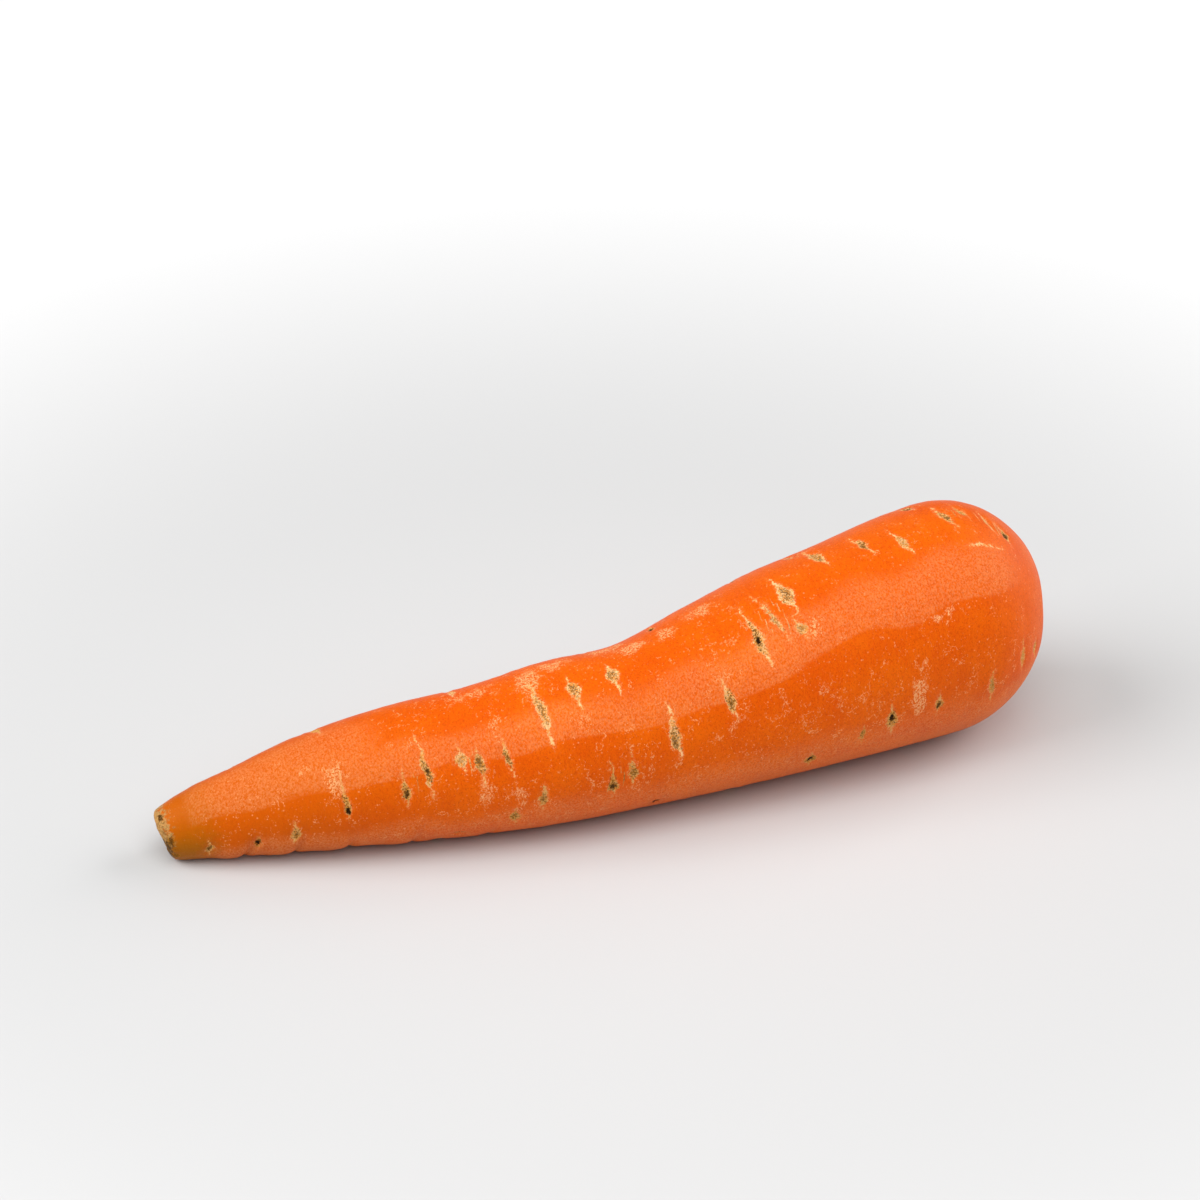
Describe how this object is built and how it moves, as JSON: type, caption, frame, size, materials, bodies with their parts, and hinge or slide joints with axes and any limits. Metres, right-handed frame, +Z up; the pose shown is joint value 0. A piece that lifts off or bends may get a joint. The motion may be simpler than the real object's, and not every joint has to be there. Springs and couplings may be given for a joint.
{
  "type": "carrot",
  "caption": "Whole orange carrot root lying on its side, tapering from a round shoulder with a hollow crown to a cut tip, without leaves.",
  "frame": {"origin": "under the middle of the bounding box, on the surface that the root lies on", "axes": "+X along the root from the cut tip to the crown, +Z up, +Y to the side that both ends bow towards"},
  "size_m": [0.1796, 0.0476, 0.0457],
  "materials": {
    "carrot_skin": "satin, slightly waxy orange vegetable skin with pale and brown side-root scars, dry whitish flecks, an olive-brown cut tip and a greenish-brown stalk scar"
  },
  "bodies": {
    "root": {"carrot_root": "carrot_skin"}
  },
  "joints": []
}
